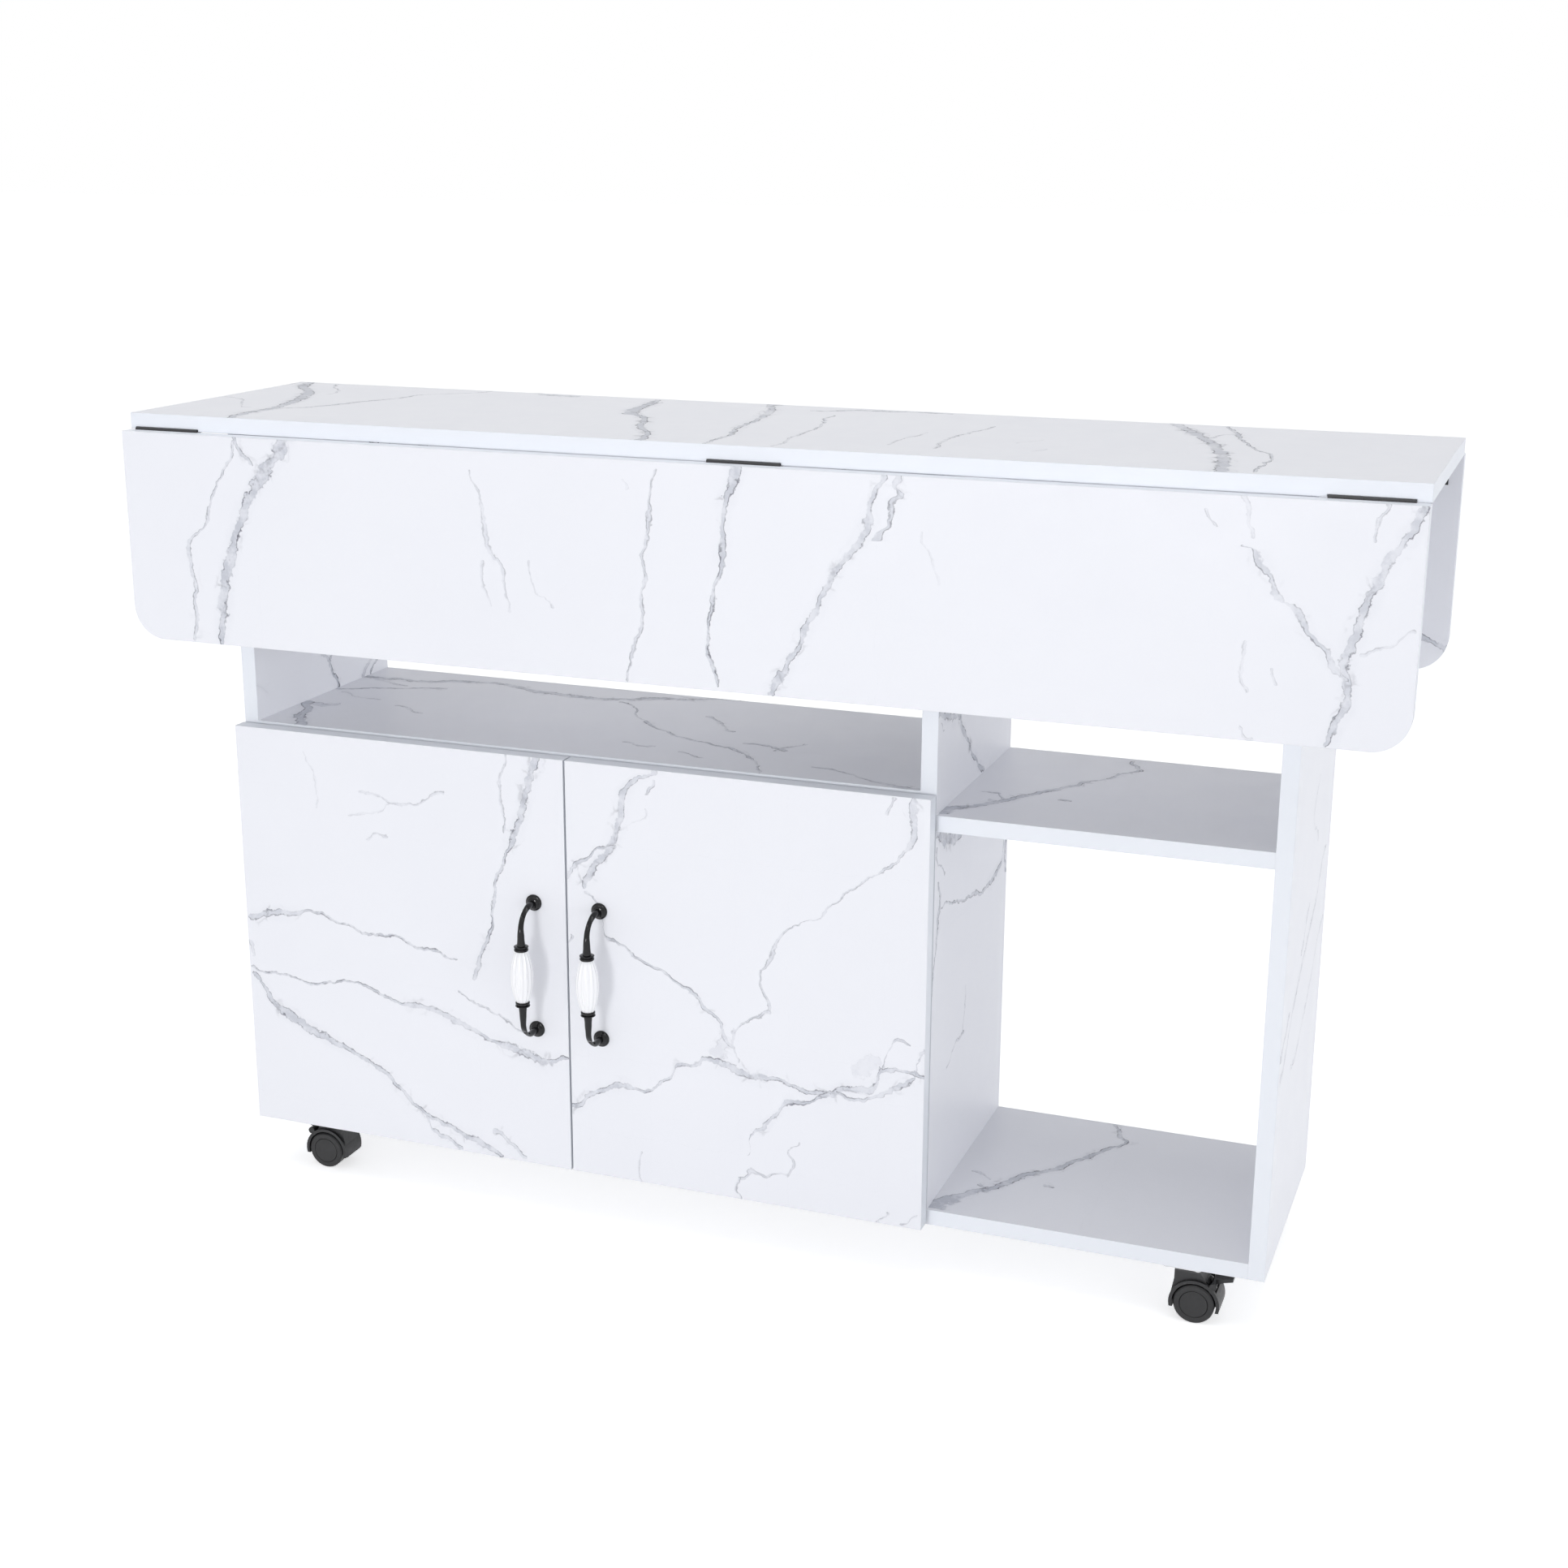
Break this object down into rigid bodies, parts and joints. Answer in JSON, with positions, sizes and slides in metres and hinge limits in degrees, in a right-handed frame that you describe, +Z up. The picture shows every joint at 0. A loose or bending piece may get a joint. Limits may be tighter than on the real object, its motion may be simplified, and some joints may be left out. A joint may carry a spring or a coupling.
{
  "type": "room service table",
  "caption": "Narrow rolling service table in white marble-look board: drop leaves on swing-out stays, hinged-door cabinet, open tray bay, open side shelves, twin-wheel casters with brakes.",
  "frame": {"origin": "on the floor, under the middle of the whole object as stored: leaves down, doors shut", "axes": "+X along the length towards the open shelves, +Y from the doors towards the back, +Z up"},
  "size_m": [1.2, 0.3485, 0.77],
  "materials": {
    "laminate": "satin",
    "black_steel": "satin",
    "zinc_steel": "satin",
    "ceramic_white": "gloss",
    "clear_plastic": "satin",
    "black_plastic": "satin"
  },
  "bodies": {
    "carcass": {"top_panel": "laminate", "left_side_panel": "laminate", "right_side_panel": "laminate", "divider_panel": "laminate", "tray_shelf": "laminate", "cabinet_bottom": "laminate", "right_shelf": "laminate", "right_bottom": "laminate", "back_panel": "laminate", "cam_locks": "zinc_steel", "cam_bolts": "zinc_steel", "top_flaps": "black_steel", "hinge_pins": "black_steel", "body_screws": "zinc_steel", "stay_brackets": "black_steel", "door_hinge_arms": "zinc_steel", "door_bumpers": "clear_plastic", "caster_plates": "zinc_steel"},
    "front_leaf": {"front_leaf": "laminate", "front_leaf_flaps": "black_steel", "front_leaf_stops": "black_plastic", "front_leaf_screws": "zinc_steel"},
    "front_stays": {"front_stay_left": "black_steel", "front_stay_right": "black_steel"},
    "back_leaf": {"back_leaf": "laminate", "back_leaf_flaps": "black_steel", "back_leaf_stops": "black_plastic", "back_leaf_screws": "zinc_steel"},
    "back_stays": {"back_stay_left": "black_steel", "back_stay_right": "black_steel"},
    "left_door": {"left_door": "laminate", "left_door_cups": "zinc_steel", "left_door_cup_screws": "zinc_steel", "left_pull_legs": "black_steel", "left_pull_grip": "ceramic_white", "left_pull_bolts": "zinc_steel"},
    "right_door": {"right_door": "laminate", "right_door_cups": "zinc_steel", "right_door_cup_screws": "zinc_steel", "right_pull_legs": "black_steel", "right_pull_grip": "ceramic_white", "right_pull_bolts": "zinc_steel"},
    "front_left_swivel": {"front_left_caster_hood": "black_plastic", "front_left_caster_axle": "zinc_steel"},
    "front_left_wheel_front": {"front_left_wheel_front": "black_plastic"},
    "front_left_wheel_back": {"front_left_wheel_back": "black_plastic"},
    "front_right_swivel": {"front_right_caster_hood": "black_plastic", "front_right_caster_axle": "zinc_steel"},
    "front_right_wheel_front": {"front_right_wheel_front": "black_plastic"},
    "front_right_wheel_back": {"front_right_wheel_back": "black_plastic"},
    "back_left_swivel": {"back_left_caster_hood": "black_plastic", "back_left_caster_axle": "zinc_steel"},
    "back_left_wheel_front": {"back_left_wheel_front": "black_plastic"},
    "back_left_wheel_back": {"back_left_wheel_back": "black_plastic"},
    "back_right_swivel": {"back_right_caster_hood": "black_plastic", "back_right_caster_axle": "zinc_steel"},
    "back_right_wheel_front": {"back_right_wheel_front": "black_plastic"},
    "back_right_wheel_back": {"back_right_wheel_back": "black_plastic"},
    "front_left_brake": {"front_left_brake_lever": "black_plastic"},
    "front_right_brake": {"front_right_brake_lever": "black_plastic"}
  },
  "joints": [
    {"name": "front_leaf_hinge", "type": "hinge", "parent": "carcass", "child": "front_leaf", "pos_m": [0, -0.14175, 0.755], "axis": [-1, 0, 0], "range_deg": [0, 90]},
    {"name": "back_leaf_hinge", "type": "hinge", "parent": "carcass", "child": "back_leaf", "pos_m": [0, 0.15925, 0.755], "axis": [1, 0, 0], "range_deg": [0, 90]},
    {"name": "front_stays_pivot", "type": "hinge", "parent": "carcass", "child": "front_stays", "pos_m": [0, -0.10675, 0.6843], "axis": [-1, 0, 0], "range_deg": [0, 120]},
    {"name": "back_stays_pivot", "type": "hinge", "parent": "carcass", "child": "back_stays", "pos_m": [0, 0.12425, 0.6843], "axis": [1, 0, 0], "range_deg": [0, 120]},
    {"name": "left_door_hinge", "type": "hinge", "parent": "carcass", "child": "left_door", "pos_m": [-0.5033, -0.12675, 0.2635], "axis": [0, 0, -1], "range_deg": [0, 90]},
    {"name": "right_door_hinge", "type": "hinge", "parent": "carcass", "child": "right_door", "pos_m": [0.1918, -0.12675, 0.2635], "axis": [0, 0, 1], "range_deg": [0, 90]},
    {"name": "front_left_swivel", "type": "hinge", "parent": "carcass", "child": "front_left_swivel", "pos_m": [-0.436, -0.09525, 0.05], "axis": [0, 0, 1], "continuous": true},
    {"name": "front_left_wheel_front", "type": "hinge", "parent": "front_left_swivel", "child": "front_left_wheel_front", "pos_m": [-0.448, -0.09525, 0.0185], "axis": [0, 1, 0], "continuous": true},
    {"name": "front_left_wheel_back", "type": "hinge", "parent": "front_left_swivel", "child": "front_left_wheel_back", "pos_m": [-0.448, -0.09525, 0.0185], "axis": [0, 1, 0], "continuous": true},
    {"name": "front_right_swivel", "type": "hinge", "parent": "carcass", "child": "front_right_swivel", "pos_m": [0.436, -0.09525, 0.05], "axis": [0, 0, 1], "continuous": true},
    {"name": "front_right_wheel_front", "type": "hinge", "parent": "front_right_swivel", "child": "front_right_wheel_front", "pos_m": [0.448, -0.09525, 0.0185], "axis": [0, 1, 0], "continuous": true},
    {"name": "front_right_wheel_back", "type": "hinge", "parent": "front_right_swivel", "child": "front_right_wheel_back", "pos_m": [0.448, -0.09525, 0.0185], "axis": [0, 1, 0], "continuous": true},
    {"name": "back_left_swivel", "type": "hinge", "parent": "carcass", "child": "back_left_swivel", "pos_m": [-0.436, 0.11275, 0.05], "axis": [0, 0, 1], "continuous": true},
    {"name": "back_left_wheel_front", "type": "hinge", "parent": "back_left_swivel", "child": "back_left_wheel_front", "pos_m": [-0.448, 0.11275, 0.0185], "axis": [0, 1, 0], "continuous": true},
    {"name": "back_left_wheel_back", "type": "hinge", "parent": "back_left_swivel", "child": "back_left_wheel_back", "pos_m": [-0.448, 0.11275, 0.0185], "axis": [0, 1, 0], "continuous": true},
    {"name": "back_right_swivel", "type": "hinge", "parent": "carcass", "child": "back_right_swivel", "pos_m": [0.436, 0.11275, 0.05], "axis": [0, 0, 1], "continuous": true},
    {"name": "back_right_wheel_front", "type": "hinge", "parent": "back_right_swivel", "child": "back_right_wheel_front", "pos_m": [0.448, 0.11275, 0.0185], "axis": [0, 1, 0], "continuous": true},
    {"name": "back_right_wheel_back", "type": "hinge", "parent": "back_right_swivel", "child": "back_right_wheel_back", "pos_m": [0.448, 0.11275, 0.0185], "axis": [0, 1, 0], "continuous": true},
    {"name": "front_left_brake", "type": "hinge", "parent": "front_left_swivel", "child": "front_left_brake", "pos_m": [-0.46439, -0.09525, 0.03803], "axis": [0, -1, 0], "range_deg": [0, 18]},
    {"name": "front_right_brake", "type": "hinge", "parent": "front_right_swivel", "child": "front_right_brake", "pos_m": [0.46439, -0.09525, 0.03803], "axis": [0, 1, 0], "range_deg": [0, 18]}
  ],
  "couplings": [
    {"joint": "front_stays_pivot", "follows": "front_leaf_hinge", "ratio": 1.3333},
    {"joint": "back_stays_pivot", "follows": "back_leaf_hinge", "ratio": 1.3333}
  ]
}
